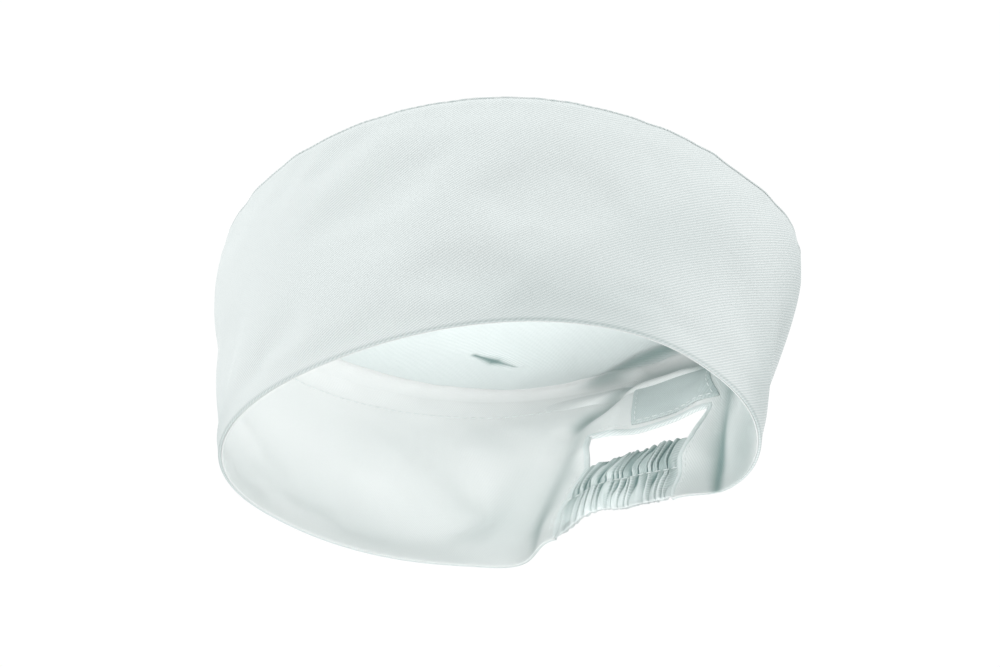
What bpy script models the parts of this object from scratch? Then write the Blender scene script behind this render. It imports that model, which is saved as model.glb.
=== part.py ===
"""Chef's flat-top cap with a stiffened band, a back window and a ruched elastic strap.

Frame: metres, +Z up. The cap stands on its hem, the front of the cap faces -Y and the
wearer's left is +X. The origin is under the middle of the cap, on the plane of the hem.
Going round the cap, an angle of 0 is the front, 90 degrees the wearer's left and 180 the back.
"""

import math

import bmesh
import bpy
from mathutils import Matrix, Vector

# ---- Driving dimensions, in metres ----
OPENING_HALF_WIDTH = 0.084
OPENING_FRONT = 0.072  # from the cap's widest place to the front of the hem
OPENING_BACK = 0.090  # the same to the back, before the strap draws it in
DRAWN_IN_BACK = 0.0775  # where the strap holds the back of the hem
DRAWN_IN_SOFTNESS = 0.003

CROWN_HALF_WIDTH = 0.0915
CROWN_FRONT = 0.0747
CROWN_BACK = 0.1083
CROWN_SHIFT = 0.0102  # the crown sits this far behind the opening
ROUNDNESS = 2.2  # 2 is an ellipse, more is squarer

HEIGHT_FRONT = 0.085
HEIGHT_SIDE = 0.0725
HEIGHT_BACK = 0.0775
CROWN_MIDDLE_HEIGHT = 0.080

SIDE_SWELL = 0.0025  # the band stands out below the crown seam
FRONT_SWELL = 0.0010
BACK_HOLLOW = 0.0045  # and falls in at the back

CLOTH = 0.0005
INTERLINING = 0.0004
GAP = 0.0003
HEM_HEIGHT = 0.0020
HEM_THICKNESS = 0.0020
LINING_TOP_DROP = 0.001  # the lining and the stiffener stop this far below the crown
STIFFENED_TO = 128  # degrees from the front, on both sides

WINDOW_HALF_WIDTH = 0.024
WINDOW_TOP = 0.0453

STRAP_HEIGHT = 0.030
STRAP_THICKNESS = 0.0040
STRAP_WALL = 0.0008
STRAP_LEAN = math.radians(24)
STRAP_FOOT = (0.0755, 0.0025)  # Y before centring, and Z, of the strap's lower edge
CHANNEL_HEIGHT = 0.0120
ELASTIC_HEIGHT = 0.0110
ELASTIC_THICKNESS = 0.0014

THREAD_RADIUS = 0.00025

TAPE_HEIGHT = 0.010
TAPE_DROP = 0.001
SEAM_THREAD_DROP = 0.0095  # below the crown

FACING_LOW = 0.0485
FACING_HIGH = 0.0650
FACING_FROM = 184  # degrees
FACING_TO = 163
FACING_STITCH_INSET = 0.0015
FACING_STITCH_INSET_DEGREES = 1

WINDOW_STITCH_RISE = 0.0022  # above the window
WINDOW_STITCHED_TO = 15  # degrees from the back, on both sides
STRAP_END_STITCHES = 16.5  # degrees from the back
STRAP_END_STITCHES_LOW = 0.004
STRAP_END_STITCHES_HIGH = 0.028

AROUND = 56  # places round the cap
LEVELS = 6  # faces up the band

CENTRING_Y = (CROWN_SHIFT + CROWN_BACK - OPENING_FRONT) / 2

# Depths into the wall, measured from the cap's outer face.
INTERLINING_DEPTH = CLOTH + GAP
LINING_DEPTH = INTERLINING_DEPTH + INTERLINING + GAP
FACING_DEPTH = LINING_DEPTH + CLOTH + GAP
INNER_THREAD_DEPTH = FACING_DEPTH + CLOTH + GAP + THREAD_RADIUS
LINING_THREAD_DEPTH = LINING_DEPTH + CLOTH + GAP + THREAD_RADIUS

WHITE = (0.83, 0.86, 0.85, 1)
LINING_WHITE = (0.86, 0.88, 0.87, 1)
STIFFENER_WHITE = (0.80, 0.80, 0.78, 1)
ELASTIC_WHITE = (0.78, 0.79, 0.78, 1)
THREAD_WHITE = (0.88, 0.90, 0.90, 1)


# ---- Scene helpers ----


def clear_scene():
    for obj in list(bpy.data.objects):
        bpy.data.objects.remove(obj, do_unlink=True)


def make_collection(name):
    collection = bpy.data.collections.new(name)
    bpy.context.scene.collection.children.link(collection)
    return collection


def make_material(name, colour, roughness):
    material = bpy.data.materials.new(name)
    material.use_nodes = True
    shader = material.node_tree.nodes["Principled BSDF"]
    shader.inputs["Base Color"].default_value = colour
    shader.inputs["Roughness"].default_value = roughness
    shader.inputs["Metallic"].default_value = 0.0
    return material


def object_from_bmesh(name, mesh_data, collection, material=None):
    mesh = bpy.data.meshes.new(name)
    mesh_data.to_mesh(mesh)
    mesh_data.free()
    obj = bpy.data.objects.new(name, mesh)
    collection.objects.link(obj)
    if material:
        mesh.materials.append(material)
        mesh.shade_smooth()
        mesh.set_sharp_from_angle(angle=math.radians(40))
    return obj


# ---- The cap's form ----


def signed_power(value, power):
    return math.copysign(abs(value) ** power, value)


def outline(angle, half_width, front, back):
    """A point on a rounded outline that is longer behind than in front."""
    across = signed_power(math.sin(angle), 2 / ROUNDNESS)
    along = -signed_power(math.cos(angle), 2 / ROUNDNESS)
    return half_width * across, (front if along < 0 else back) * along


def soft_limit(value, limit, softness):
    """value where it is well below limit, and limit where it is well above."""
    return limit - softness * math.log1p(math.exp((limit - value) / softness))


def wall_height(angle):
    end = HEIGHT_FRONT if math.cos(angle) > 0 else HEIGHT_BACK
    return HEIGHT_SIDE + (end - HEIGHT_SIDE) * math.cos(angle) ** 2


def plan_point(angle, share):
    """Plan position of the wall, without its swell, at a share of its height."""
    low_x, low_y = outline(angle, OPENING_HALF_WIDTH, OPENING_FRONT, OPENING_BACK)
    low_y = soft_limit(low_y, DRAWN_IN_BACK, DRAWN_IN_SOFTNESS)
    high_x, high_y = outline(angle, CROWN_HALF_WIDTH, CROWN_FRONT, CROWN_BACK)
    low = Vector((low_x, low_y, 0))
    high = Vector((high_x, high_y + CROWN_SHIFT, 0))
    return low.lerp(high, share)


def outward(angle, share):
    step = math.radians(2)
    along = plan_point(angle + step, share) - plan_point(angle - step, share)
    return Vector((along.y, -along.x, 0)).normalized()


def swell(angle, share):
    side = math.sin(angle) ** 2
    front = max(math.cos(angle), 0) ** 2
    back = max(-math.cos(angle), 0) ** 2
    high_bulge = math.sin(math.pi * share**2.4)
    middle = 4 * share * (1 - share)
    return SIDE_SWELL * side * high_bulge + (FRONT_SWELL * front - BACK_HOLLOW * back) * middle


def level_point(angle, level, depth):
    """A point of the smooth wall at one of its levels."""
    share = level / LEVELS
    point = plan_point(angle, share)
    point += outward(angle, share) * (swell(angle, share) - depth)
    return Vector((point.x, point.y - CENTRING_Y, share * wall_height(angle)))


def wall_point(angle, height, depth=0.0):
    """A point of the faceted wall: depth is measured inwards from the outer face."""
    place = min(max(height / wall_height(angle) * LEVELS, 0), LEVELS)
    below = min(int(place), LEVELS - 1)
    low = level_point(angle, below, depth)
    high = level_point(angle, below + 1, depth)
    return low.lerp(high, place - below)


def full_circle():
    return [2 * math.pi * i / AROUND for i in range(AROUND)]


def arc(first_degrees, last_degrees, count):
    first, last = math.radians(first_degrees), math.radians(last_degrees)
    return [first + (last - first) * i / count for i in range(count + 1)]


def front_and_sides():
    """The same places as the full circle's, without those behind the ears."""
    reach = round(AROUND * STIFFENED_TO / 360)
    return [2 * math.pi * i / AROUND for i in range(-reach, reach + 1)]


# ---- Bands swept round the cap ----


def section_heights(angle, low, high):
    """low and high, with the wall's own levels between them."""
    levels = [wall_height(angle) * i / LEVELS for i in range(1, LEVELS)]
    return [low] + [level for level in levels if low < level < high] + [high]


def band_section(angle, outer_depth, inner_depth, low, high):
    """Closed section of a plain layer: up its outer face and down its inner one."""
    heights = section_heights(angle, low, high)
    up = [wall_point(angle, height, outer_depth) for height in heights]
    down = [wall_point(angle, height, inner_depth) for height in reversed(heights)]
    return up + down


def hemmed_section(angle):
    """Section of the outer layer, whose turned-in hem is a thick foot."""
    heights = section_heights(angle, HEM_HEIGHT, wall_height(angle))
    up = [wall_point(angle, height) for height in [0] + heights]
    down = [wall_point(angle, height, CLOTH) for height in reversed(heights)]
    foot = [wall_point(angle, height, HEM_THICKNESS) for height in (HEM_HEIGHT, 0)]
    return up + down + foot


def strip_faces(mesh_data, here, there, j, k):
    """Two triangles, split the same way on neighbouring layers so that these nest."""
    if here[j].co.z <= here[k].co.z:
        mesh_data.faces.new((here[j], there[j], there[k]))
        mesh_data.faces.new((here[j], there[k], here[k]))
    else:
        mesh_data.faces.new((here[j], there[j], here[k]))
        mesh_data.faces.new((there[j], there[k], here[k]))


def sweep(name, sections, closed, collection, material):
    """Closed solid through a row of matching sections."""
    mesh_data = bmesh.new()
    rows = [[mesh_data.verts.new(point) for point in section] for section in sections]
    size = len(rows[0])
    for i in range(len(rows) if closed else len(rows) - 1):
        here, there = rows[i], rows[(i + 1) % len(rows)]
        for j in range(size):
            strip_faces(mesh_data, here, there, j, (j + 1) % size)
    if not closed:
        mesh_data.faces.new(rows[0])
        mesh_data.faces.new(reversed(rows[-1]))
    bmesh.ops.recalc_face_normals(mesh_data, faces=mesh_data.faces)
    return object_from_bmesh(name, mesh_data, collection, material)


def cut(obj, cutter):
    boolean = obj.modifiers.new("cut_" + cutter.name, "BOOLEAN")
    boolean.operation = "DIFFERENCE"
    boolean.solver = "EXACT"
    boolean.object = cutter


def box(name, size, matrix, collection, material=None):
    mesh_data = bmesh.new()
    bmesh.ops.create_cube(mesh_data, size=1.0)
    bmesh.ops.scale(mesh_data, vec=size, verts=mesh_data.verts)
    obj = object_from_bmesh(name, mesh_data, collection, material)
    obj.matrix_world = matrix
    return obj


def make_cutter(name, size, matrix, collection):
    cutter = box(name, size, matrix, collection)
    cutter.hide_render = True
    cutter.display_type = "WIRE"
    return cutter


# ---- Pieces ----


def make_window_cutter(cutters):
    """Box through the back, from under the hem to the top of the window."""
    near, far = 0.030, 0.125
    below = 0.005
    size = (2 * WINDOW_HALF_WIDTH, far - near, WINDOW_TOP + below)
    middle = Vector((0, (near + far) / 2, (WINDOW_TOP - below) / 2))
    return make_cutter("window_cutter", size, Matrix.Translation(middle), cutters)


def make_band(cap, window_cutter, materials):
    angles = full_circle()
    outer = sweep("band_outer", [hemmed_section(a) for a in angles], True, cap, materials["twill"])
    low = HEM_HEIGHT + GAP
    lining_sections = [
        band_section(a, LINING_DEPTH, LINING_DEPTH + CLOTH, low, wall_height(a) - LINING_TOP_DROP)
        for a in angles
    ]
    lining = sweep("band_lining", lining_sections, True, cap, materials["lining"])
    cut(outer, window_cutter)
    cut(lining, window_cutter)

    inner_depth = INTERLINING_DEPTH + INTERLINING
    interlining_sections = [
        band_section(a, INTERLINING_DEPTH, inner_depth, low, wall_height(a) - LINING_TOP_DROP)
        for a in front_and_sides()
    ]
    sweep("band_interlining", interlining_sections, False, cap, materials["interlining"])


def make_crown_panel(cap, material):
    """Round panel that lies on the band's upper edge, nearly flat in the middle."""
    rings = 5
    mesh_data = bmesh.new()
    middle_y = CROWN_SHIFT + (CROWN_BACK - CROWN_FRONT) / 2 - CENTRING_Y
    middle = Vector((0, middle_y, CROWN_MIDDLE_HEIGHT))
    lift = GAP + CLOTH
    centre = mesh_data.verts.new(middle)
    rows = []
    for ring in range(1, rings + 1):
        share = ring / rings
        row = []
        for angle in full_circle():
            edge = wall_point(angle, wall_height(angle)) + Vector((0, 0, lift))
            point = middle.lerp(edge, share)
            point.z = middle.z + (edge.z - middle.z) * share**2
            row.append(mesh_data.verts.new(point))
        rows.append(row)
    for i in range(AROUND):
        k = (i + 1) % AROUND
        mesh_data.faces.new((centre, rows[0][i], rows[0][k]))
        for here, there in zip(rows, rows[1:]):
            mesh_data.faces.new((here[i], there[i], there[k], here[k]))
    panel = object_from_bmesh("crown_panel", mesh_data, cap, material)
    thicken = panel.modifiers.new("thickness", "SOLIDIFY")
    thicken.thickness = CLOTH
    thicken.offset = -1


def make_crown_seam_tape(cap, material):
    sections = [
        band_section(
            a,
            FACING_DEPTH,
            FACING_DEPTH + CLOTH,
            wall_height(a) - TAPE_DROP - TAPE_HEIGHT,
            wall_height(a) - TAPE_DROP,
        )
        for a in full_circle()
    ]
    sweep("crown_seam_tape", sections, True, cap, material)


def make_window_facing(cap, material):
    """Patch inside, above the window, that reaches past it on the wearer's left."""
    sections = [
        band_section(a, FACING_DEPTH, FACING_DEPTH + CLOTH, FACING_LOW, FACING_HIGH)
        for a in arc(FACING_FROM, FACING_TO, 8)
    ]
    sweep("window_facing", sections, False, cap, material)


def strap_matrix(offset=(0, 0, 0)):
    """Placement of the strap's pieces: it leans back as the wall does."""
    lean = Matrix.Rotation(-STRAP_LEAN, 4, "X")
    foot = Vector((0, STRAP_FOOT[0] - CENTRING_Y, STRAP_FOOT[1]))
    middle = Vector((0, 0, STRAP_HEIGHT / 2))
    return Matrix.Translation(foot) @ lean @ Matrix.Translation(middle + Vector(offset))


def make_strap(cap, cutters, materials):
    length = 2 * (WINDOW_HALF_WIDTH - GAP)
    size = (length, STRAP_THICKNESS, STRAP_HEIGHT)
    casing = box("strap_casing", size, strap_matrix(), cap, materials["twill"])
    channel_size = (2 * length, STRAP_THICKNESS - 2 * STRAP_WALL, CHANNEL_HEIGHT)
    elastic_size = (length, ELASTIC_THICKNESS, ELASTIC_HEIGHT)
    spacing = STRAP_HEIGHT / 4 - STRAP_WALL / 4
    for name, side in (("upper", 1), ("lower", -1)):
        place = strap_matrix((0, 0, side * spacing))
        cut(casing, make_cutter(name + "_channel_cutter", channel_size, place, cutters))
        box("elastic_" + name, elastic_size, place, cap, materials["elastic"])


def thread(name, path, collection, material, closed=False):
    """A row of sewing thread: a fine round line through its points."""
    curve = bpy.data.curves.new(name, "CURVE")
    curve.dimensions = "3D"
    curve.bevel_depth = THREAD_RADIUS
    curve.bevel_resolution = 1
    curve.use_fill_caps = True
    spline = curve.splines.new("POLY")
    spline.points.add(len(path) - 1)
    for point, place in zip(spline.points, path):
        point.co = (*place, 1)
    spline.use_cyclic_u = closed
    curve.materials.append(material)
    collection.objects.link(bpy.data.objects.new(name, curve))


def facing_stitch_line():
    """Up one side of the facing, across its top and down the other side."""
    first = math.radians(FACING_FROM - FACING_STITCH_INSET_DEGREES)
    last = math.radians(FACING_TO + FACING_STITCH_INSET_DEGREES)
    low, high = FACING_LOW + FACING_STITCH_INSET, FACING_HIGH - FACING_STITCH_INSET
    middle = (low + high) / 2
    across = 8
    side_up = [(first, low), (first, middle)]
    top = [(first + (last - first) * i / across, high) for i in range(across + 1)]
    side_down = [(last, middle), (last, low)]
    return side_up + top + side_down


def make_threads(cap, material):
    seam = [
        wall_point(a, wall_height(a) - SEAM_THREAD_DROP, INNER_THREAD_DEPTH) for a in full_circle()
    ]
    thread("crown_seam_thread", seam, cap, material, closed=True)

    edge_height = WINDOW_TOP + WINDOW_STITCH_RISE
    angles = arc(180 - WINDOW_STITCHED_TO, 180 + WINDOW_STITCHED_TO, 10)
    edge = [wall_point(a, edge_height, LINING_THREAD_DEPTH) for a in angles]
    thread("window_edge_thread", edge, cap, material)

    facing_row = [wall_point(a, height, INNER_THREAD_DEPTH) for a, height in facing_stitch_line()]
    thread("facing_edge_thread", facing_row, cap, material)

    steps = 6
    rise = (STRAP_END_STITCHES_HIGH - STRAP_END_STITCHES_LOW) / steps
    heights = [STRAP_END_STITCHES_LOW + rise * i for i in range(steps + 1)]
    for name, side in (("left", -1), ("right", 1)):
        angle = math.radians(180 + side * STRAP_END_STITCHES)
        row = [wall_point(angle, height, LINING_THREAD_DEPTH) for height in heights]
        thread("strap_end_thread_" + name, row, cap, material)

    reach = WINDOW_HALF_WIDTH - 2 * THREAD_RADIUS
    face = STRAP_THICKNESS / 2 + GAP + THREAD_RADIUS
    for name, side in (("inner", -1), ("outer", 1)):
        row = [strap_matrix() @ Vector((x, side * face, 0)) for x in (-reach, reach)]
        thread("strap_centre_thread_" + name, row, cap, material)


def main():
    clear_scene()
    cap = make_collection("chef_cap")
    cutters = make_collection("cutters")
    materials = {
        "twill": make_material("twill", WHITE, 0.9),
        "lining": make_material("lining", LINING_WHITE, 0.9),
        "interlining": make_material("interlining", STIFFENER_WHITE, 0.95),
        "elastic": make_material("elastic", ELASTIC_WHITE, 0.8),
        "thread": make_material("thread", THREAD_WHITE, 0.7),
    }
    make_band(cap, make_window_cutter(cutters), materials)
    make_crown_panel(cap, materials["twill"])
    make_crown_seam_tape(cap, materials["lining"])
    make_window_facing(cap, materials["lining"])
    make_strap(cap, cutters, materials)
    make_threads(cap, materials["thread"])


main()
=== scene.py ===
import math

import bmesh
import bpy
import numpy as np
from mathutils import Matrix, Vector


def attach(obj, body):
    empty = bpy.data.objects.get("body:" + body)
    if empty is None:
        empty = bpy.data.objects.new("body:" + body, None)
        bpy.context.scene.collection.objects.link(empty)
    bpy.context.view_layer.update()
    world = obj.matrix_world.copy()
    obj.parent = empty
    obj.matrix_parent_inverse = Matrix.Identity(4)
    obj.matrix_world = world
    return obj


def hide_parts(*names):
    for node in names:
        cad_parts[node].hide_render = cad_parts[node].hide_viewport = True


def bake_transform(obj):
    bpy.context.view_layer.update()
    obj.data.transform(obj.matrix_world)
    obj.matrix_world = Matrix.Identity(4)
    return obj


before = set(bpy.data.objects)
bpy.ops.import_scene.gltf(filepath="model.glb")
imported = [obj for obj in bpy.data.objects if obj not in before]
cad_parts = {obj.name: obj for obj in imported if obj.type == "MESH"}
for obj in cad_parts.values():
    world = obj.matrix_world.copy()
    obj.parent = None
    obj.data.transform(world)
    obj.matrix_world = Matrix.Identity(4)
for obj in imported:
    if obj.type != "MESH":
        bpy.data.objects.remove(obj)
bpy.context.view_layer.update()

MM = 0.001

# ---- The cap's form, in metres ----
# The outlines of the hem and of the crown are read from the frame. Going round the cap, an
# angle of 0 is the front (-Y), 90 degrees the wearer's left (+X) and 180 the back.
WIDEST_Y = -23.25 * MM  # the place along the cap where the hem is widest
HEM_BACK = 90 * MM  # the hem's half length behind that place, were it not drawn in
CROWN_SHIFT = 10.2 * MM
ROUNDNESS = 2.2
DRAWN_IN_SOFTNESS = 3 * MM

HEIGHT_FRONT = 85 * MM
HEIGHT_SIDE = 72.5 * MM
HEIGHT_BACK = 77.5 * MM
CROWN_MIDDLE_HEIGHT = 80 * MM

SIDE_SWELL = 2.5 * MM
FRONT_SWELL = 1.0 * MM
BACK_HOLLOW = 4.5 * MM

CLOTH = 0.45 * MM
COTTON = 0.35 * MM  # the seam tape and the facing
STIFFENING = 0.3 * MM
# The crown's under layer is a separate sheet that carries the painted shade of the crown's inside.
UNDERSIDE = 0.3 * MM  # the crown's under layer
# Depths into the band from its outer face.
STIFFENER_DEPTH = 0.6 * MM
LINING_DEPTH = 1.1 * MM
BAND_THICKNESS = 1.55 * MM
HEM_RADIUS = 0.5 * MM
STIFFENED_TO = 128  # degrees from the front, on both sides

WINDOW_TOP = 45.3 * MM
WINDOW_TOP_HALF_WIDTH = 22.5 * MM
STRAP_TOP = 30 * MM


def outline_at(node, low, high):
    """Half width, front and back of the points of a CAD node between two heights."""
    points = [v.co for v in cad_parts[node].data.vertices if low < v.co.z < high]
    return (
        max(p.x for p in points),
        min(p.y for p in points),
        max(p.y for p in points),
    )


hem_half_width, hem_front_y, hem_back_y = outline_at("band_outer", -0.1 * MM, 0.1 * MM)
crown_half_width, crown_front_y, crown_back_y = outline_at("crown_panel", 0, 1)
crown_centre_y = WIDEST_Y + CROWN_SHIFT


def signed_power(value, power):
    return np.sign(value) * np.abs(value) ** power


def outline(angle, half_width, front, back):
    across = signed_power(np.sin(angle), 2 / ROUNDNESS)
    along = -signed_power(np.cos(angle), 2 / ROUNDNESS)
    return half_width * across, np.where(along < 0, front, back) * along


def soft_limit(value, limit, softness):
    return limit - softness * np.logaddexp(0, (limit - value) / softness)


def smoothstep(low, high, value):
    t = np.clip((value - low) / (high - low), 0, 1)
    return t * t * (3 - 2 * t)


def wall_height(angle):
    end = np.where(np.cos(angle) > 0, HEIGHT_FRONT, HEIGHT_BACK)
    return HEIGHT_SIDE + (end - HEIGHT_SIDE) * np.cos(angle) ** 2


def plan(angle, share):
    """Plan position of the wall's outer face at a share of its height."""
    low_x, low_y = outline(angle, hem_half_width, WIDEST_Y - hem_front_y, HEM_BACK)
    low_y = soft_limit(low_y, hem_back_y - WIDEST_Y, DRAWN_IN_SOFTNESS) + WIDEST_Y
    front, back = crown_centre_y - crown_front_y, crown_back_y - crown_centre_y
    high_x, high_y = outline(angle, crown_half_width, front, back)
    high_y = high_y + crown_centre_y
    return low_x + (high_x - low_x) * share, low_y + (high_y - low_y) * share


def outward(angle, share):
    step = math.radians(1.5)
    x0, y0 = plan(angle - step, share)
    x1, y1 = plan(angle + step, share)
    length = np.hypot(x1 - x0, y1 - y0)
    return (y1 - y0) / length, -(x1 - x0) / length


def swell(angle, share):
    side = np.sin(angle) ** 2
    front = np.maximum(np.cos(angle), 0) ** 2
    back = np.maximum(-np.cos(angle), 0) ** 2
    inside = np.clip(share, 0, 1)
    high_bulge = np.sin(np.pi * inside**2.4)
    middle = 4 * inside * (1 - inside)
    return SIDE_SWELL * side * high_bulge + (FRONT_SWELL * front - BACK_HOLLOW * back) * middle


# ---- Folds of the back, where the strap draws the band in ----
# A fold runs along a path of points with a width and an outward push at each of them, all in
# millimetres. A negative push brings the cloth inwards. On the band a point is (x, height).

BAND_FOLDS = [
    # the strap's ends pull the hem in, and the band stands out beside them
    ([(-25, -2), (-24, 8), (-22, 20), (-20, 30)], [9, 9, 8, 6], [-5.0, -5.0, -3.0, -1.5]),
    ([(26, -3), (24, 5), (22, 12)], [8, 7, 6], [-5.5, -3.5, -0.5]),
    ([(-44, -2), (-41, 8), (-37, 24), (-34, 42), (-34, 56)], [9, 8, 6, 5, 5], [4.5, 4, 3, 2.5, 0.5]),
    ([(42, -2), (38, 6), (34, 18), (31, 30), (28, 56)], [7, 6, 6, 7, 8], [1, 2.2, 4.5, 5.5, 2.5]),
    # the window's edge comes inwards at its left end, and the rest of it stands back
    ([(-22, 40), (-23, 52)], [5, 5], [-3.0, -1.0]),
    ([(-4, 42), (8, 44), (20, 42)], [9, 11, 10], [3.6, 3.4, 2.0]),
    # soft ridges and valleys between the window and the seam of the crown
    ([(-15, 47), (-16, 58), (-14, 66)], [3.5, 3.5, 3.0], [-2.2, -2.0, -0.5]),
    (
        [(-33, 52), (-25, 61), (-20, 68), (-12, 74), (6, 73), (18, 67)],
        [4, 3.2, 2.8, 2.8, 2.8, 3.2],
        [1.5, 2.8, 2.8, 2.6, 2.4, 1.2],
    ),
    ([(20, 52), (26, 62), (24, 72)], [5, 5, 5], [-1.0, -2.0, -1.0]),
]

# On the front and sides a point is (angle in degrees, height).
FRONT_FOLDS = [
    ([(20, 30), (45, 27), (66, 26)], [14, 14, 14], [0.6, 1.3, 0.6]),
    ([(104, 8), (112, 34), (112, 60)], [12, 14, 14], [-0.4, 0.8, 0.8]),
]
# Painted shade on the outside of the band, low at the front and in soft patches on the sides.
FRONT_SHADES = [
    ([(18, 2), (42, 5), (66, 4)], [14, 17, 14], [0.03, 0.18, 0.18]),
    ([(-62, 8), (-46, 6), (-36, 2)], [14, 12, 8], [0.2, 0.2, 0.05]),
    ([(70, 34), (84, 38)], [12, 12], [0.08, 0.08]),
    ([(116, 6), (120, 34), (122, 64)], [10, 12, 12], [0.25, 0.25, 0.2]),
]

# On the crown a point is (x, y) and a push is upwards.
CROWN_FOLDS = [
    (
        [(-42, 85), (-31, 87.5), (-21, 86), (-10, 84.5), (2, 84), (16, 81)],
        [2, 2.4, 3, 3.5, 4, 4],
        [0.2, 0.9, 1.7, 2.2, 2.4, 1.8],
    ),
    ([(-48.6, 43), (-46.1, 50), (-43.6, 57)], [1.2, 1.6, 1.2], [0.4, 1.5, 0.4]),
    ([(-46.6, 43), (-43.6, 50), (-41.1, 57)], [1.6, 2.2, 1.6], [-0.5, -1.3, -0.5]),
    ([(-58, 22), (-50, 38), (-40, 62), (-30, 74)], [7, 8, 8, 6], [0.3, -1.2, -1.2, -0.3]),
]


def along_path(x, y, path, widths, values):
    """Values along a path of points in millimetres, falling off as a bell to both sides."""
    path = np.array(path, float) * MM
    nearest = np.full(x.shape, np.inf)
    result = np.zeros(x.shape)
    for k in range(len(path) - 1):
        start, run = path[k], path[k + 1] - path[k]
        t = np.clip(((x - start[0]) * run[0] + (y - start[1]) * run[1]) / (run @ run), 0, 1)
        distance = np.hypot(x - start[0] - run[0] * t, y - start[1] - run[1] * t)
        width = (widths[k] + (widths[k + 1] - widths[k]) * t) * MM
        value = values[k] + (values[k + 1] - values[k]) * t
        result = np.where(distance < nearest, value * np.exp(-((distance / width) ** 2)), result)
        nearest = np.minimum(distance, nearest)
    return result


BAND_GROWTH = 0.012  # how much too large the cloth is cut for its held edges
CROWN_GROWTH = 0.010
CROWN_EASE_SHARES = np.linspace(0.04, 1.0, 25)


def turned(angle):
    """The angle in degrees from -180 to 180, as thousandths, to go with millimetres."""
    return ((np.degrees(angle) + 180) % 360 - 180) * MM


def soft_unevenness(x, y, z):
    """The slight waviness of sewn cotton, up to half a millimetre."""
    first = np.sin(x / (13 * MM) + 1.3 * np.sin(z / (17 * MM))) * np.sin(z / (19 * MM) + y / (15 * MM))
    second = np.sin(y / (9 * MM) + z / (11 * MM) + 2.0) * np.sin(x / (11 * MM) - z / (23 * MM))
    return (0.30 * first + 0.18 * second) * MM


def seam_puckers(angle, z):
    """The small puckers that a sewn seam draws into the cloth beside it."""
    near_seam = 1 - smoothstep(0, 8 * MM, wall_height(angle) - z)
    uneven = np.sin(11 * angle + 0.9) * np.sin(37 * angle) + 0.6 * np.sin(29 * angle + 2.0)
    return 0.20 * MM * uneven * near_seam


def wall_folds(angle, x, y, z):
    push = soft_unevenness(x, y, z) * smoothstep(0, 8 * MM, z) + seam_puckers(angle, z)
    for fold in FRONT_FOLDS:
        push = push + along_path(turned(angle), z, *fold) * MM * smoothstep(0, 8 * MM, z)
    for fold in BAND_FOLDS:
        push = push + np.where(y > 20 * MM, along_path(x, z, *fold) * MM, 0)
    return push


# Painted shade: the cloth is painted darker where shade falls on it, in deep folds and creases
# and where it lies several layers thick. These are paths as above, with how much darker the
# cloth is at each point, from 0 to 1.

# Painted shade inside the band: in the creases beside the strap's ends, in the valleys between the
# window and the crown seam, and on the band beside them.
BAND_SHADES = [
    (
        [(30, 58), (34.5, 44), (34.5, 28), (36, 14), (38, 1)],
        [8, 7.5, 5.0, 3.4, 2.0],
        [0.35, 0.7, 0.8, 0.75, 0.6],
    ),
    (
        [(-29, 58), (-28, 46), (-29, 34), (-32, 21), (-35, 11), (-34, 3)],
        [4, 5.5, 6.5, 6, 4.5, 3],
        [0.25, 0.35, 0.38, 0.42, 0.5, 0.35],
    ),
    ([(-56, 4), (-49, 18), (-44, 34)], [8, 8, 7], [0.05, 0.18, 0.1]),
    (
        [(-31, 55), (-24, 62), (-20, 69), (-12, 75), (6, 73), (16, 67)],
        [2.8, 2.8, 2.4, 2.2, 2.4, 2.8],
        [0.45, 0.55, 0.45, 0.4, 0.45, 0.4],
    ),
    ([(20, 66), (28, 60), (34, 50)], [7, 7, 6], [0.35, 0.35, 0.2]),
    ([(50, 4), (54, 26), (54, 50)], [12, 14, 14], [0.3, 0.42, 0.35]),
]
# Painted shade under the crown: in the recess behind its seam, and a painted shadow in the seam's small
# slit.
CROWN_SHADES = [
    (
        [(-46, 84), (-34, 87), (-24, 87.5), (-12, 86.5), (2, 86), (16, 83)],
        [1.8, 2.2, 2.4, 2.8, 3.2, 3.4],
        [0.25, 0.5, 0.65, 0.8, 0.85, 0.8],
    ),
    ([(-48.3, 41), (-45.7, 49), (-43.0, 56)], [0.9, 2.1, 0.9], [1.0, 2.6, 1.0]),
]


def shade_of(x, y, shades):
    total = np.zeros(x.shape)
    for shade in shades:
        total = total + along_path(x, y, *shade)
    return np.clip(total, 0, 1)


def spline_weights(t):
    return np.stack([(1 - t) ** 3, 3 * t**3 - 6 * t**2 + 4, 1 + 3 * (t + t**2 - t**3), t**3]) / 6


def between(grid, rows, angle):
    """Smooth values of a grid that is closed round the cap, at fractional rows and angles."""
    rows, columns = np.broadcast_arrays(rows, angle * grid.shape[1] / (2 * np.pi))
    row, column = np.floor(rows).astype(int), np.floor(columns).astype(int)
    row_weights, column_weights = spline_weights(rows - row), spline_weights(columns - column)
    total = np.zeros(row.shape)
    for i in range(4):
        for j in range(4):
            r = np.clip(row + i - 1, 0, len(grid) - 1)
            c = (column + j - 1) % grid.shape[1]
            total += grid[r, c] * row_weights[i] * column_weights[j]
    return total


band_ease = None  # set by the simulation of the band's cloth


def wall(angle, height, depth=0.0):
    """Points of the cloth wall: depth is measured inwards from the outer face."""
    angle, height, depth = np.broadcast_arrays(angle, height, depth)
    share = np.clip(height / wall_height(angle), -0.05, 1.05)
    x, y = plan(angle, share)
    nx, ny = outward(angle, share)
    push = swell(angle, share) - depth + wall_folds(angle, x, y, height)
    if band_ease is not None:
        push = push + between(band_ease, share * (len(band_ease) - 1), angle)
    return np.stack([x + nx * push, y + ny * push, height + 0 * x], -1)


# ---- Mesh helpers ----


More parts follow.
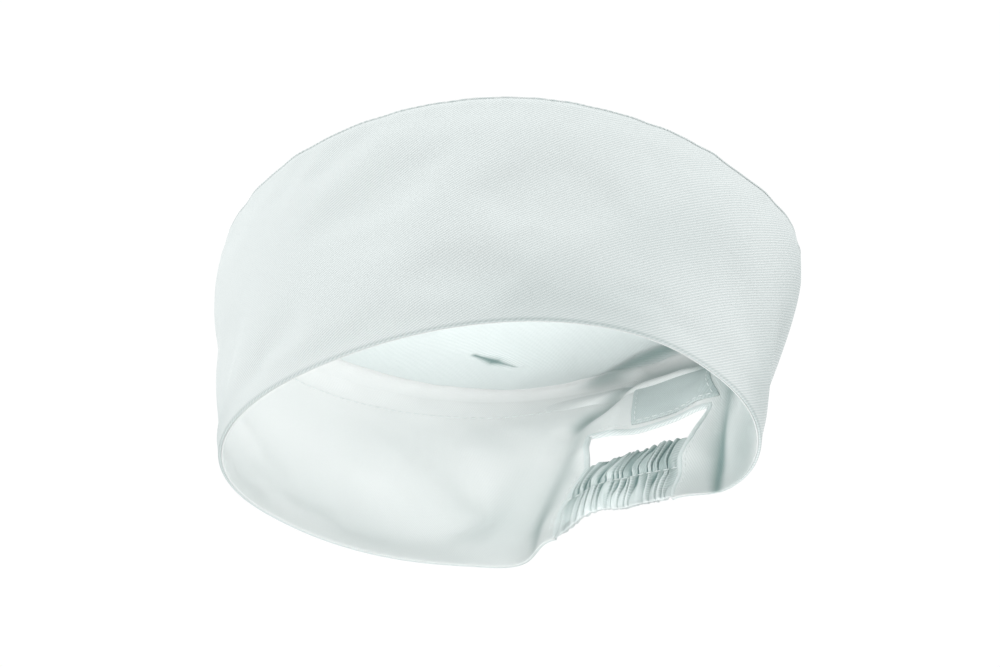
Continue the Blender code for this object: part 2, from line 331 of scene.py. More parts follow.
def mesh_object(name, points, faces, uv=None, columns=0):
    """A mesh with its cloth coordinates. columns is the length of a grid's closed rows."""
    mesh = bpy.data.meshes.new(name)
    mesh.from_pydata(np.reshape(points, (-1, 3)).tolist(), [], faces)
    if uv is not None:
        corners = np.zeros(len(mesh.loops), np.int32)
        mesh.loops.foreach_get("vertex_index", corners)
        values = uv.reshape(-1, 2)[corners].astype(np.float32)
        if columns:
            values[:, 0] += length_past_last_column(corners, points, uv, columns)
        mesh.uv_layers.new(name="cloth").data.foreach_set("uv", values.ravel())
    mesh.shade_smooth()
    obj = bpy.data.objects.new(name, mesh)
    bpy.context.scene.collection.objects.link(obj)
    return obj


def length_past_last_column(corners, points, uv, columns):
    """Quads that close a row run on from its last column instead of back to its first."""
    quads = corners[: len(corners) // 4 * 4].reshape(-1, 4)
    column, row = quads % columns, quads // columns
    closing = np.any(column == columns - 1, axis=1)[:, None] & (column == 0)
    gap = np.linalg.norm(points[:, 0] - points[:, -1], axis=-1)
    length = uv[:, -1, 0] - uv[:, 0, 0] + gap
    extra = np.where(closing, length[np.minimum(row, len(length) - 1)], 0)
    return np.concatenate([extra.ravel(), np.zeros(len(corners) % 4)])


def grid_faces(rows, columns, closed_columns=False, closed_rows=False, keep=None):
    """Quads of a grid of points, row by row. keep says which quads stay."""
    row_count = rows if closed_rows else rows - 1
    column_count = columns if closed_columns else columns - 1
    i, j = np.meshgrid(np.arange(row_count), np.arange(column_count), indexing="ij")
    i2, j2 = (i + 1) % rows, (j + 1) % columns
    quads = np.stack([i * columns + j, i * columns + j2, i2 * columns + j2, i2 * columns + j], -1)
    if keep is not None:
        quads = quads[keep]
    return quads.reshape(-1, 4).tolist()


def thicken(obj, thickness, offset=-1.0):
    solid = obj.modifiers.new("thickness", "SOLIDIFY")
    solid.thickness = thickness
    solid.offset = offset
    return obj


def paint_shade(obj, shade):
    """Stores the painted shade: how much darker the cloth is painted at each point."""
    layer = obj.data.attributes.new("shade", "FLOAT", "POINT")
    layer.data.foreach_set("value", np.ravel(shade).astype(np.float32))
    return obj


def drop_loose_points(obj):
    mesh = bmesh.new()
    mesh.from_mesh(obj.data)
    loose = [v for v in mesh.verts if not v.link_faces]
    bmesh.ops.delete(mesh, geom=loose, context="VERTS")
    mesh.to_mesh(obj.data)
    mesh.free()


# ---- The cloth's ease, by simulation ----


def settle(name, points, held, growth, last_frame=36):
    """Lets a grid of cloth that is cut a little too large settle between its held points."""
    rows, columns = points.shape[:2]
    obj = mesh_object(name, points, grid_faces(rows, columns, closed_columns=True))
    group = obj.vertex_groups.new(name="held")
    group.add(np.flatnonzero(np.ravel(held)).tolist(), 1.0, "REPLACE")
    cloth = obj.modifiers.new("cloth", "CLOTH")
    cloth.point_cache.frame_end = last_frame
    settings = cloth.settings
    settings.vertex_group_mass = "held"
    settings.quality = 8
    settings.mass = 0.02
    settings.tension_stiffness = settings.compression_stiffness = 40
    settings.shear_stiffness = 20
    settings.bending_stiffness = 2.0
    settings.shrink_min = -growth
    settings.effector_weights.gravity = 0.3
    scene = bpy.context.scene
    for number in range(1, last_frame + 1):
        scene.frame_set(number)
    settled = obj.evaluated_get(bpy.context.evaluated_depsgraph_get())
    places = np.empty(rows * columns * 3, np.float32)
    settled.data.vertices.foreach_get("co", places)
    scene.frame_set(1)
    bpy.data.objects.remove(obj, do_unlink=True)
    return places.reshape(points.shape).astype(float) - points


def soft_cap(value, limit):
    return limit * np.tanh(value / limit)


EASE_COLUMNS = 120


def simulate_band():
    """How far the band's cloth stands out or falls in between its hem and the crown seam."""
    angle = np.linspace(0, 2 * np.pi, EASE_COLUMNS, endpoint=False)
    shares = np.linspace(0, 1, 19)[:, None]
    points = wall(angle, shares * wall_height(angle))
    held = np.zeros(points.shape[:2], bool)
    held[[0, 1, -2, -1]] = True
    moved = settle("band_simulation", points, held, BAND_GROWTH)
    nx, ny = outward(angle, shares)
    return soft_cap(moved[..., 0] * nx + moved[..., 1] * ny, 1.2 * MM)


def simulate_crown():
    """How far the crown's cloth rises or sags inside its seam."""
    points = crown_grid(CROWN_EASE_SHARES, 0.0, EASE_COLUMNS)
    held = np.zeros(points.shape[:2], bool)
    held[[-2, -1]] = True
    moved = settle("crown_simulation", points, held, CROWN_GROWTH)
    return soft_cap(moved[..., 2], 2.0 * MM)


# ---- Materials ----


def maths(tree, operation, first, second=None, third=None):
    node = tree.nodes.new("ShaderNodeMath")
    node.operation = operation
    for socket, value in zip(node.inputs, (first, second, third)):
        if value is None:
            continue
        if isinstance(value, (int, float)):
            socket.default_value = value
        else:
            tree.links.new(value, socket)
    return node.outputs[0]


def wave(tree, across, pitch):
    """A smooth 0 to 1 wave along a distance in metres."""
    sine = maths(tree, "SINE", maths(tree, "MULTIPLY", across, 2 * math.pi / pitch))
    return maths(tree, "MULTIPLY_ADD", sine, 0.5, 0.5)


def noise(tree, vector, scale, detail=2.0):
    node = tree.nodes.new("ShaderNodeTexNoise")
    node.inputs["Scale"].default_value = scale
    node.inputs["Detail"].default_value = detail
    tree.links.new(vector, node.inputs["Vector"])
    return node.outputs[0]


# The colour that the painted shade darkens the cloth towards.
PAINTED_SHADE_COLOUR = (0.20, 0.29, 0.28)


def cloth_material(
    name, colour, shade, pitch, angle_degrees, relief, roughness=0.85, wales=0.7, flecks=0.5
):
    """Woven cloth: slanting wales crossed by fine yarns, laid out on the cut cloth in metres."""
    material = bpy.data.materials.new(name)
    material.use_nodes = True
    tree = material.node_tree
    shader = tree.nodes["Principled BSDF"]
    uv = tree.nodes.new("ShaderNodeUVMap")
    uv.uv_map = "cloth"
    split = tree.nodes.new("ShaderNodeSeparateXYZ")
    tree.links.new(uv.outputs[0], split.inputs[0])
    u, v = split.outputs[0], split.outputs[1]

    drift = maths(tree, "SUBTRACT", noise(tree, uv.outputs[0], 90), 0.5)
    drift = maths(tree, "MULTIPLY", drift, 0.25 * pitch)

    slope = math.radians(angle_degrees)
    up = maths(tree, "MULTIPLY", v, math.cos(slope))
    across = maths(tree, "SUBTRACT", up, maths(tree, "MULTIPLY", u, math.sin(slope)))
    wale = wave(tree, maths(tree, "ADD", across, drift), pitch)
    forward = maths(tree, "MULTIPLY", u, math.cos(slope))
    along = maths(tree, "ADD", forward, maths(tree, "MULTIPLY", v, math.sin(slope)))
    yarn = wave(tree, maths(tree, "ADD", along, drift), 0.55 * pitch)
    fleck = noise(tree, uv.outputs[0], 1400, 1.0)

    height = maths(tree, "MULTIPLY_ADD", yarn, 0.25, maths(tree, "MULTIPLY", wale, wales / 0.7))
    height = maths(tree, "MULTIPLY_ADD", fleck, flecks, height)
    bump = tree.nodes.new("ShaderNodeBump")
    bump.inputs["Strength"].default_value = 1.0
    bump.inputs["Distance"].default_value = relief
    tree.links.new(height, bump.inputs["Height"])
    tree.links.new(bump.outputs[0], shader.inputs["Normal"])

    # The weave's colour: darker in the wales' grooves, which is painted shade, and darker at random with
    # the flecks, which is the yarn's own uneven tone.
    tone = tree.nodes.new("ShaderNodeMix")
    tone.data_type = "RGBA"
    tone.inputs[6].default_value = (*shade, 1)
    tone.inputs[7].default_value = (*colour, 1)
    amount = maths(tree, "MULTIPLY_ADD", fleck, flecks, maths(tree, "MULTIPLY", wale, wales))
    tree.links.new(amount, tone.inputs[0])

    # Painted shade: the colour is darkened by the shade stored at each point.
    shaded = tree.nodes.new("ShaderNodeMix")
    shaded.data_type = "RGBA"
    shade_value = tree.nodes.new("ShaderNodeAttribute")
    shade_value.attribute_name = "shade"
    tree.links.new(shade_value.outputs["Fac"], shaded.inputs[0])
    tree.links.new(tone.outputs[2], shaded.inputs[6])
    shaded.inputs[7].default_value = (*PAINTED_SHADE_COLOUR, 1)
    tree.links.new(shaded.outputs[2], shader.inputs["Base Color"])

    shader.inputs["Roughness"].default_value = roughness
    shader.inputs["Specular IOR Level"].default_value = 0.25
    shader.inputs["Sheen Weight"].default_value = 0.15
    shader.inputs["Sheen Roughness"].default_value = 0.5
    return material


def plain_material(name, colour, roughness=0.8):
    material = bpy.data.materials.new(name)
    material.use_nodes = True
    shader = material.node_tree.nodes["Principled BSDF"]
    shader.inputs["Base Color"].default_value = (*colour, 1)
    shader.inputs["Roughness"].default_value = roughness
    return material


TWILL = cloth_material(
    "white_twill", (0.82, 0.85, 0.845), (0.605, 0.675, 0.67), 0.80 * MM, 27, 0.10 * MM, flecks=0.14
)
LINING = cloth_material(
    "white_lining", (0.835, 0.845, 0.84), (0.775, 0.79, 0.785), 0.55 * MM, 45, 0.03 * MM
)
# The facing is coloured darker than the lining.
FACING = cloth_material(
    "darker_facing", (0.58, 0.64, 0.635), (0.48, 0.54, 0.535), 0.8 * MM, 45, 0.06 * MM
)
THREAD = cloth_material(
    "white_thread", (0.83, 0.86, 0.855), (0.68, 0.72, 0.715), 0.4 * MM, 55, 0.03 * MM, 0.6
)
STIFFENER = cloth_material(
    "pressed_fibre", (0.80, 0.81, 0.80), (0.64, 0.65, 0.64), 1.3 * MM, 0, 0.04 * MM, 0.9, 0.1, 1.0
)
ELASTIC = cloth_material(
    "elastic_weave", (0.77, 0.79, 0.78), (0.58, 0.60, 0.59), 1.0 * MM, 90, 0.10 * MM, 0.7
)


def finish_piece(obj, material, slot, body, *nodes):
    obj.data.materials.append(material)
    if body:
        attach(obj, body)
    if nodes:
        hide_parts(*nodes)
    return obj


# ---- The band ----

AROUND = 440
ROWS_BELOW_WINDOW_TOP = 62
ROWS_ABOVE_WINDOW_TOP = 46


def window_left(z):
    """The window's edge on the wearer's right, in x, for a height z."""
    return np.interp(z, np.array([0, 12, 30, 46]) * MM, np.array([-23.4, -23.2, -19, -22.5]) * MM)


def window_right(z):
    return np.interp(z, np.array([0, 8, 20, 46]) * MM, np.array([24.5, 23.5, 20.5, 22.5]) * MM)


def angle_at_x(x):
    """The angle at the back whose hem and crown lie nearest to x."""
    angles = np.radians(np.linspace(120, 240, 2401))
    xs = plan(angles, 0.3)[0]
    return np.interp(x, xs[::-1], angles[::-1])


# Angles of the grid's columns: evenly spaced, with a column on each edge of the window.
EDGE_RIGHT = float(angle_at_x(WINDOW_TOP_HALF_WIDTH))
EDGE_LEFT = float(angle_at_x(-WINDOW_TOP_HALF_WIDTH))
window_columns = round((EDGE_LEFT - EDGE_RIGHT) / (2 * np.pi) * AROUND)
column_angles = np.concatenate(
    [
        np.linspace(EDGE_RIGHT, EDGE_LEFT, window_columns, endpoint=False),
        np.linspace(EDGE_LEFT, EDGE_RIGHT + 2 * np.pi, AROUND - window_columns, endpoint=False),
    ]
)
COLUMN_IN_WINDOW = np.arange(AROUND) < window_columns


def bent_angles(z):
    """The column angles at a height, drawn together so that the window's edges lean."""
    reach = math.radians(14)
    right = float(angle_at_x(window_right(z)))
    left = float(angle_at_x(window_left(z)))
    round_cap = column_angles % (2 * math.pi)
    angles = column_angles
    for edge, moved in ((EDGE_RIGHT, right), (EDGE_LEFT, left)):
        weight = np.exp(-(((round_cap - edge) / reach) ** 2))
        angles = angles + (moved - edge) * weight
    return angles


body_shares = np.concatenate(
    [
        [0.0],
        np.linspace(0.012, WINDOW_TOP / HEIGHT_BACK, ROWS_BELOW_WINDOW_TOP, endpoint=False),
        np.linspace(WINDOW_TOP / HEIGHT_BACK, 0.965, ROWS_ABOVE_WINDOW_TOP),
    ]
)


def cloth_coordinates(points, first_column=0):
    """Lengths along the rows and up the columns of a grid that is closed round the cap."""
    steps = np.linalg.norm(np.roll(points, -1, axis=1) - points, axis=2)
    u = np.cumsum(steps, axis=1) - steps
    u = u - u[:, first_column : first_column + 1]
    rises = np.linalg.norm(np.diff(points, axis=0), axis=2)
    v = np.concatenate([np.zeros((1, points.shape[1])), np.cumsum(rises, axis=0)])
    return np.stack([u, v], -1)


def wall_grid(rows):
    """Points and cloth coordinates of a layer of the band, from rows (share, lift, depth)."""
    points = []
    for share, lift, depth in rows:
        angles = bent_angles(share * HEIGHT_BACK)
        points.append(wall(angles, share * wall_height(angles) + lift, depth))
    points = np.stack(points)
    front_column = int(np.argmin(points[0, :, 1]))
    return points, cloth_coordinates(points, front_column)


def wall_layer(name, rows, cut_rows, reach=180):
    """A layer of the band with the window left out of its first cut_rows rows.

    reach is how far it goes round from the front, in degrees to both sides.
    """
    points, uv = wall_grid(rows)
    keep = np.ones((len(rows) - 1, AROUND), bool)
    keep[:cut_rows][:, COLUMN_IN_WINDOW] = False
    keep[:, np.abs(turned(column_angles)) > reach * MM] = False
    faces = grid_faces(len(rows), AROUND, closed_columns=True, keep=keep)
    return mesh_object(name, points, faces, uv, AROUND), points, uv


def band_shade(points):
    """Painted shade on the inside of the band: in its folds, and a little towards the hem."""
    behind = points[..., 1] > 20 * MM
    folds = np.where(behind, shade_of(points[..., 0], points[..., 2], BAND_SHADES), 0)
    near_hem = 0.24 * (1 - smoothstep(2 * MM, 44 * MM, points[..., 2]))
    return np.clip(folds + near_hem, 0, 1)


def window_rim(points, first_row, last_row):
    """Indices (row, column) of the grid's points along the window's three edges."""
    left_column = window_columns
    up_right = [(r, 0) for r in range(first_row, last_row)]
    across = [(last_row, c) for c in range(0, window_columns + 1)]
    down_left = [(r, left_column) for r in range(last_row - 1, first_row - 1, -1)]
    return up_right + across + down_left


# Painted shade on the rolled hem's rim, to darken it.
HEM_SHADE = 0.2
# The band's top edge, turned in under the crown: how far below the seam, and how deep.
TOP_TURNED_IN = [(-2.0, 0.10), (-1.3, 0.30), (-0.6, 0.70), (-0.1, 1.3), (-0.1, 2.2)]


def make_band_outer():
    rows = [(0.0, 3 * MM, 2 * HEM_RADIUS)]
    for degrees in range(-90, 90, 20):
        turn = math.radians(degrees)
        depth = HEM_RADIUS - HEM_RADIUS * math.sin(turn)
        rows.append((0.0, HEM_RADIUS - HEM_RADIUS * math.cos(turn), depth))
    first_body_row = len(rows)
    rows += [(share, HEM_RADIUS * max(0, 1 - share / 0.03), 0.0) for share in body_shares]
    cut_rows = first_body_row + 1 + ROWS_BELOW_WINDOW_TOP
    rows += [(1.0, lift * MM, depth * MM) for lift, depth in TOP_TURNED_IN]
    obj, points, uv = wall_layer("band_outer_cloth", rows, cut_rows)
    round_cap = turned(np.stack([bent_angles(row[0] * HEIGHT_BACK) for row in rows]))
    # Painted shade on the band's outside: the soft patches of the front and sides, and the hem's rim.
    shade = shade_of(round_cap, points[..., 2], FRONT_SHADES)
    shade[: first_body_row + 1] += HEM_SHADE
    paint_shade(obj, shade)
    turn_in_window(obj, points, uv, first_body_row, cut_rows)
    drop_loose_points(obj)
    thicken(obj, CLOTH)
    return finish_piece(obj, TWILL, "twill", "root", "band_outer")


LIP_RADIUS = BAND_THICKNESS / 2
LIP_TURN = np.linspace(0.3, math.pi, 8)
LIP_LAID = [(-0.5, 0.06), (-1.0, 0.0), (-1.6, -0.5)]  # back over the lining, and above it


def turn_in_window(obj, points, uv, first_row, last_row):
    """Turns the cloth's edge in round the window and lays it down inside as a narrow hem."""
    rim = window_rim(points, first_row, last_row)
    base = np.array([points[r, c] for r, c in rim])
    base_uv = np.array([uv[r, c] for r, c in rim])
    along = np.gradient(base, axis=0)
    along /= np.linalg.norm(along, axis=1, keepdims=True)
    out = []
    for r, c in rim:
        du = points[r, (c + 1) % AROUND] - points[r, c - 1]
        dv = points[min(r + 1, len(points) - 1), c] - points[r - 1, c]
        n = np.cross(du, dv)
        out.append(n / np.linalg.norm(n))
    out = np.array(out)
    into_window = np.cross(out, along)
    middle = np.array([0, points[last_row, window_columns // 2][1], WINDOW_TOP / 2])
    if np.sum((middle - base[len(base) // 2]) * into_window[len(base) // 2]) < 0:
        into_window = -into_window
    section = [(LIP_RADIUS * math.sin(t), LIP_RADIUS - LIP_RADIUS * math.cos(t)) for t in LIP_TURN]
    section += [(reach * MM, BAND_THICKNESS + depth * MM) for reach, depth in LIP_LAID]
    mesh = bmesh.new()
    mesh.from_mesh(obj.data)
    mesh.verts.ensure_lookup_table()
    layer = mesh.loops.layers.uv.active
    previous = [mesh.verts[r * AROUND + c] for r, c in rim]
    previous_uv = base_uv
    offset, last = 0.0, (0.0, 0.0)
    from_end = np.minimum(np.arange(len(rim)), np.arange(len(rim))[::-1])
    fullness = smoothstep(-1, 6, from_end)[:, None]
    for reach, depth in section:
        ring = base + into_window * reach * (fullness if reach > 0 else 1) - out * depth
        verts = [mesh.verts.new(p) for p in ring]
        offset += math.hypot(reach - last[0], depth - last[1])
        last = (reach, depth)
        ring_uv = base_uv + np.stack([np.zeros(len(rim)), np.full(len(rim), -offset)], -1)
        for k in range(len(rim) - 1):
            face = mesh.faces.new((previous[k + 1], previous[k], verts[k], verts[k + 1]))
            face.smooth = True
            corners = (previous_uv[k + 1], previous_uv[k], ring_uv[k], ring_uv[k + 1])
            for loop, corner in zip(face.loops, corners):
                loop[layer].uv = corner
        previous, previous_uv = verts, ring_uv
    mesh.to_mesh(obj.data)
    mesh.free()


def make_band_lining():
    rows = [(0.0, 0.15 * MM, LINING_DEPTH - 0.15 * MM)]
    rows += [(share, 0.5 * MM * max(0, 1 - share / 0.03), LINING_DEPTH) for share in body_shares]
    cut_rows = 2 + ROWS_BELOW_WINDOW_TOP
    rows += [(1.0, -1.5 * MM, LINING_DEPTH)]
    obj, points, _ = wall_layer("band_lining_cloth", rows, cut_rows)
    # Painted shade on the lining, in its folds and towards the hem.
    paint_shade(obj, band_shade(points))
    drop_loose_points(obj)
    thicken(obj, CLOTH)
    return finish_piece(obj, LINING, "lining", "root", "band_lining")


def make_stiffener():
    shares = body_shares[3:]
    rows = [(share, 0.0, STIFFENER_DEPTH) for share in shares]
    cut_rows = ROWS_BELOW_WINDOW_TOP - 1
    obj, _, _ = wall_layer("band_stiffener", rows, cut_rows, STIFFENED_TO)
    drop_loose_points(obj)
    thicken(obj, STIFFENING)
    return finish_piece(obj, STIFFENER, "interlining", "root", "band_interlining")


# ---- The crown, its seam and the facing ----

crown_middle_y = (crown_front_y + crown_back_y) / 2
crown_ease = None  # set by the simulation of the crown's cloth

CROWN_PROUD = 0.8 * MM  # how far the crown's cloth stands above the band's top edge
CROWN_EDGE_DROP = 1.6 * MM  # how far it then turns down at the seam
LAYER_GAP = 0.05 * MM


def crown_grid(shares, depth, columns=AROUND):
    """Rings of the crown from its middle to its edge, below its top face by depth."""
    angle = np.linspace(0, 2 * np.pi, columns, endpoint=False)
    edge = wall(angle, wall_height(angle))
    shares = np.asarray(shares)[:, None]
    x = edge[:, 0] * shares
    y = crown_middle_y + (edge[:, 1] - crown_middle_y) * shares
    z = CROWN_MIDDLE_HEIGHT + (edge[:, 2] + CROWN_PROUD - CROWN_MIDDLE_HEIGHT) * shares**2
    z = z - CROWN_EDGE_DROP * smoothstep(0.965, 1.0, shares)
    push = soft_unevenness(x, y, 0 * x) * 1.5
    for fold in CROWN_FOLDS:
        push = push + along_path(x, y, *fold) * MM
    if crown_ease is not None:
        first, last = CROWN_EASE_SHARES[0], CROWN_EASE_SHARES[-1]
        places = (shares - first) / (last - first) * (len(crown_ease) - 1)
        push = push + between(crown_ease, np.maximum(places, 0), angle)
    free = 1 - smoothstep(0.95, 0.985, shares)
    return np.stack([x, y, z + push * free - depth], -1)


def crown_layer(name, depth, last_share):
    shares = np.concatenate([np.linspace(0.01, 0.96, 170), [0.972, 0.982, last_share]])
    points = crown_grid(shares, depth)
    faces = grid_faces(len(shares), AROUND, closed_columns=True)
    faces.append(list(range(AROUND))[::-1])
    return mesh_object(name, points, faces, points[..., :2]), points


def make_crown():
    top, _ = crown_layer("crown_cloth", 0.0, 0.995)
    thicken(top, CLOTH)
    finish_piece(top, TWILL, "twill", "root", "crown_panel")
    under, points = crown_layer("crown_underside", CLOTH + LAYER_GAP, 0.986)
    # Painted shade under the crown: the recess behind its seam and the seam's slit.
    paint_shade(under, shade_of(points[..., 0], points[..., 1], CROWN_SHADES))
    thicken(under, UNDERSIDE)
    finish_piece(under, TWILL, "twill", "root")
    return top, under


TAPE_LOW = 12 * MM  # below the crown seam
CORNER_LOW = 5 * MM
# Painted shade spread evenly over the seam tape, to darken it a little.
TAPE_SHADE = 0.06


def seam_fullness(angle):
    """How far the seam's allowance stands out: little at the sides, plump at the back."""
    degrees = np.degrees(angle) % 360
    rise = smoothstep(150, 170, degrees) * (1 - smoothstep(190, 212, degrees))
    return (0.12 + 2.2 * rise) * MM


def make_seam_tape():
    """The taped allowance: up the lining, round the corner and a little way under the crown."""
    angle = np.linspace(0, 2 * np.pi, AROUND, endpoint=False)
    full = seam_fullness(angle)
    top = wall_height(angle)
    rows = []
    for q in np.linspace(0, 1, 18):
        height = top - TAPE_LOW + (TAPE_LOW - CORNER_LOW) * q
        rows.append(wall(angle, height, BAND_THICKNESS - 0.2 * MM + math.sin(math.pi * q) * full))
    below = rows[-1]
    corner = wall(angle, top - CROWN_EDGE_DROP, BAND_THICKNESS)
    underside = CLOTH + LAYER_GAP + UNDERSIDE
    beyond = crown_grid([0.95], underside + LAYER_GAP)[0]
    for t in np.linspace(0, 1, 14)[1:]:
        rows.append(below * (1 - t) ** 2 + corner * 2 * t * (1 - t) + beyond * t * t)
    rows.append(crown_grid([0.935], underside - 0.15 * MM)[0])
    points = np.stack(rows)
    faces = grid_faces(len(rows), AROUND, closed_columns=True)
    obj = mesh_object("crown_seam_tape_cloth", points, faces, cloth_coordinates(points), AROUND)
    # Painted shade on the tape: the band's painted shade, the crown's painted shade behind the seam, and
    # an even painted shade over it all.
    behind = smoothstep(73 * MM, 77 * MM, points[..., 2])
    valley_shade = shade_of(points[..., 0], points[..., 1], CROWN_SHADES) * behind
    paint_shade(obj, np.clip(band_shade(points) + valley_shade + TAPE_SHADE, 0, 1))
    thicken(obj, COTTON, offset=1.0)
    return finish_piece(obj, LINING, "lining", "root", "crown_seam_tape")


FACING_LOW = 48.5 * MM
FACING_HIGH = 69 * MM
FACING_WIDTH = 36 * MM
FACING_COLUMNS = 90
FACING_RAISED = 0.3 * MM
FACING_PUCKER = 0.15 * MM


def facing_x(height):
    """Where the facing starts and ends at a height: it leans, and narrows upwards."""
    up = (height - FACING_LOW) / (FACING_HIGH - FACING_LOW)
    return (-8.5 - 4.5 * up) * MM, (26 - 9 * up) * MM


def make_facing():
    rows = []
    heights = np.linspace(FACING_LOW, FACING_HIGH, 50)
    for height in heights:
        start, end = facing_x(height)
        x = np.linspace(start, end, FACING_COLUMNS)
        edge = np.minimum(np.minimum(x - start, end - x), min(height - FACING_LOW, FACING_HIGH - height))
        raised = FACING_RAISED * smoothstep(0, 1.2 * MM, edge + 0.2 * MM)
        puckers = FACING_PUCKER * np.sin(x / (2.1 * MM)) * (1 - smoothstep(0, 4 * MM, edge))
        depth = BAND_THICKNESS + LAYER_GAP + raised + puckers
        rows.append(wall(angle_at_x(x), np.full(FACING_COLUMNS, height), depth))
    points = np.stack(rows)
    u = np.broadcast_to(np.linspace(0, FACING_WIDTH, FACING_COLUMNS), points.shape[:2])
    v = np.broadcast_to((heights - FACING_LOW)[:, None], points.shape[:2])
    faces = grid_faces(len(heights), FACING_COLUMNS)
    obj = mesh_object("window_facing_cloth", points, faces, np.stack([u, v], -1))
    # Painted shade on the facing, in the band's folds.
    paint_shade(obj, band_shade(points))
    thicken(obj, COTTON, offset=1.0)
    return finish_piece(obj, FACING, "lining", "root", "window_facing")


# ---- The ruched strap ----

STRAP_ENTRY = 0.03  # how much of its length each end runs into the band
STRAP_LENGTH = 44 * MM
STRAP_HEIGHT = 27 * MM
CASING_FULLNESS = 2.0  # how much longer the casing is than the gathered strap
CASING_GIRTH = 60 * MM
GATHERS = 16
SECTION = 112
HALF_COLUMNS = 260
ELASTIC_SECTION = 28
ELASTIC_COLUMNS = 60
ELASTIC_HALF_THICKNESS = 0.22 * MM


def strap_edge(side, z):
    """The middle of the band's thickness at the strap's end, at heights z."""
    x = window_left(z) if side < 0 else window_right(z)
    return wall(angle_at_x(x), z, BAND_THICKNESS / 2)


def ripple(value, seed):
    """A smooth wandering value, mostly between -1 and 1."""
    return (
        0.5 * np.sin(1.7 * value + 2.1 * seed)
        + 0.3 * np.sin(3.9 * value + 5.3 * seed)
        + 0.2 * np.sin(7.3 * value + 1.3 * seed)
    )


def strap_place(s, w):
    """The strap's middle surface: s from its right end to its left, w from its foot up."""
    rise = 6.2 * smoothstep(-0.02, 0.28, s)
    fall = 3.1 * smoothstep(0.34, 0.6, s) + 2.2 * smoothstep(0.6, 1.0, s)
    foot = (0.8 + rise - fall) * MM
    z = foot + (STRAP_TOP - foot) * w
    start, end = strap_edge(-1, z), strap_edge(1, z)
    point = start + (end - start) * s[..., None]
    point[..., 1] += -1.6 * MM * np.sin(np.pi * np.clip(s, 0, 1)) * np.sin(np.pi * w)
    point[..., 2] = z
    return point


def strap_frame(s, w):
    step = 1e-3
    along = strap_place(s + step, w) - strap_place(s - step, w)
    up = strap_place(s, w + step) - strap_place(s, w - step)
    inward = -np.cross(along, up)
    inward /= np.linalg.norm(inward, axis=-1, keepdims=True)
    toward_front = np.where(inward[..., 1:2] < 0, 1.0, -1.0)
    return strap_place(s, w), inward * toward_front


def gathers(s, w, inner):
    """Height of the gathers over the elastic, from 0 in a valley to about 1 on a crest."""
    heights = []
    for row in (0, 1):
        seed = 1 + row + (0 if inner else 4)
        lean = (1.1 + 0.45 * ripple(s * 6, seed)) * (w - 0.5)
        wander = 0.5 * ripple(s * 11, seed) + 0.12 * np.sin(7 * w + 15 * s)
        phase = s * GATHERS - lean + 0.5 * row + wander
        phase = phase + 0.10 * np.sin(2 * np.pi * phase)
        crest = np.abs(np.sin(np.pi * phase))
        size = 0.8 + 0.28 * ripple(np.floor(phase) * 1.9 + row, 3)
        crumple = 0.14 * np.sin(13 * phase + 9 * w) * crest
        heights.append(size * crest + crumple)
    upper = smoothstep(0.46, 0.54, w)
    return heights[0] * (1 - upper) + heights[1] * upper


def strap_name(side):
    return "left" if side > 0 else "right"


def blend_half(obj, side):
    """Bakes the half's placing into its points."""
    end = strap_edge(side, STRAP_TOP / 2)
    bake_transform(obj)
    return obj


def half_span(side, columns, entry=STRAP_ENTRY):
    """Places along the strap from its sewn end to its middle, or on from there."""
    start, end = (-entry, 0.5) if side < 0 else (0.5, 1 + entry)
    return np.linspace(start, end, columns)


def tube_grid(side, section, columns, entry=STRAP_ENTRY):
    """Turns round a tube's section and places along one half of the strap."""
    turn = np.linspace(0, 2 * np.pi, section, endpoint=False)
    return np.meshgrid(turn, half_span(side, columns, entry), indexing="ij")


def tube_faces(section, columns):
    """The faces of a tube along the strap, with a cap at each end."""
    first_end = [i * columns for i in range(section)]
    second_end = [i * columns + columns - 1 for i in range(section)][::-1]
    return grid_faces(section, columns, closed_rows=True) + [first_end, second_end]


def make_strap_half(side):
    """One half of the ruched casing, from its sewn end to the middle of the strap."""
    turn, s = tube_grid(side, SECTION, HALF_COLUMNS)
    w = 0.5 - 0.5 * np.cos(turn)
    inside_face = np.sin(turn) > 0
    middle, inward = strap_frame(s, np.clip(w, 2e-3, 1 - 2e-3))

    calm = smoothstep(0, 0.07, s) * (1 - smoothstep(0.93, 1.0, s))
    channel = 1 - 0.75 * np.exp(-(((w - 0.5) / 0.045) ** 2))
    height = np.where(inside_face, gathers(s, w, True), gathers(s, w, False))
    rounded = np.abs(np.sin(turn)) ** 0.4
    thick = (0.30 + (0.35 + 1.75 * height) * calm * channel) * MM
    push = np.where(inside_face, 1, -1) * rounded * thick
    points = middle + inward * push[..., None]
    frill = 0.8 * np.exp(-(((w - 1) / 0.10) ** 2)) - 0.25 * np.exp(-((w / 0.10) ** 2))
    points[..., 2] += MM * (height - 0.35) * frill * calm

    uv = np.stack([s * STRAP_LENGTH * CASING_FULLNESS, turn / (2 * np.pi) * CASING_GIRTH], -1)
    faces = tube_faces(SECTION, HALF_COLUMNS)
    obj = mesh_object("strap_casing_" + strap_name(side), points, faces, uv)
    # Painted shade on the strap: in the valleys of the gathers, a little more over the upper row, and
    # less on its outside face.
    valley_shade = np.clip(1.08 - height / 0.9, 0, 1) * (0.25 + 0.75 * smoothstep(0.08, 0.40, w))
    strap_shade = calm * (1.1 * valley_shade + 0.06 + 0.16 * smoothstep(0.3, 0.7, w))
    paint_shade(obj, np.clip(strap_shade, 0, 1) * np.where(inside_face, 1, 0.4))
    return blend_half(finish_piece(obj, TWILL, "twill", None), side)


